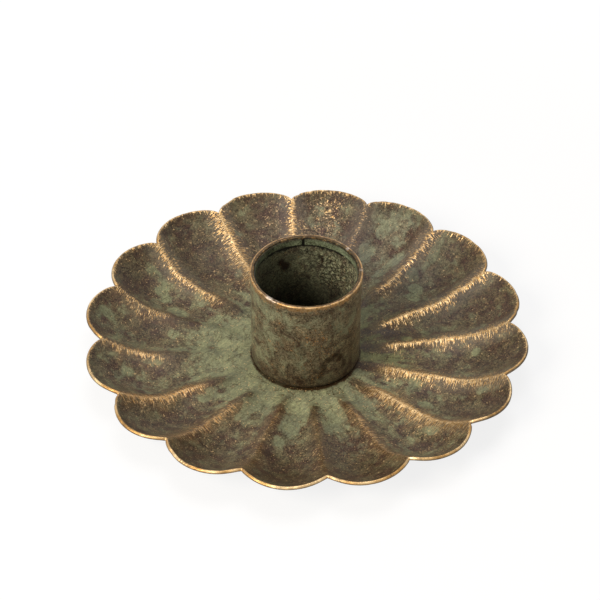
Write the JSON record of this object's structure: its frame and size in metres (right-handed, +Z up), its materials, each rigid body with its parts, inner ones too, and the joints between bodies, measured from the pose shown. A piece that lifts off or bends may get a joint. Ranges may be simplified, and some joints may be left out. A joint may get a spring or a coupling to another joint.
{
  "type": "candle holder",
  "caption": "Low candle holder: a scalloped, petal-ridged round metal drip dish with a plain upright candle cup at its middle.",
  "frame": {"origin": "on the axis of the cup and the dish, on the plane that the dish stands on, bottom centre of the bounding box", "axes": "+Z up along the axis of the candle cup, out of its mouth; -Y is the side that faces the viewer"},
  "size_m": [0.098, 0.098, 0.0247],
  "materials": {
    "dish_patina": "antiqued brass, brown and green patina, rubbed bright on the ridges and the edge",
    "cup_patina": "antiqued brass, streaky brown and green patina, worn bright on the lip",
    "ring_verdigris": "green patina",
    "rivet_brass": "dull worn brass"
  },
  "bodies": {
    "root": {"dish": "dish_patina", "candle_cup": "cup_patina", "mouth_ring": "ring_verdigris", "rivet": "rivet_brass"}
  },
  "joints": []
}
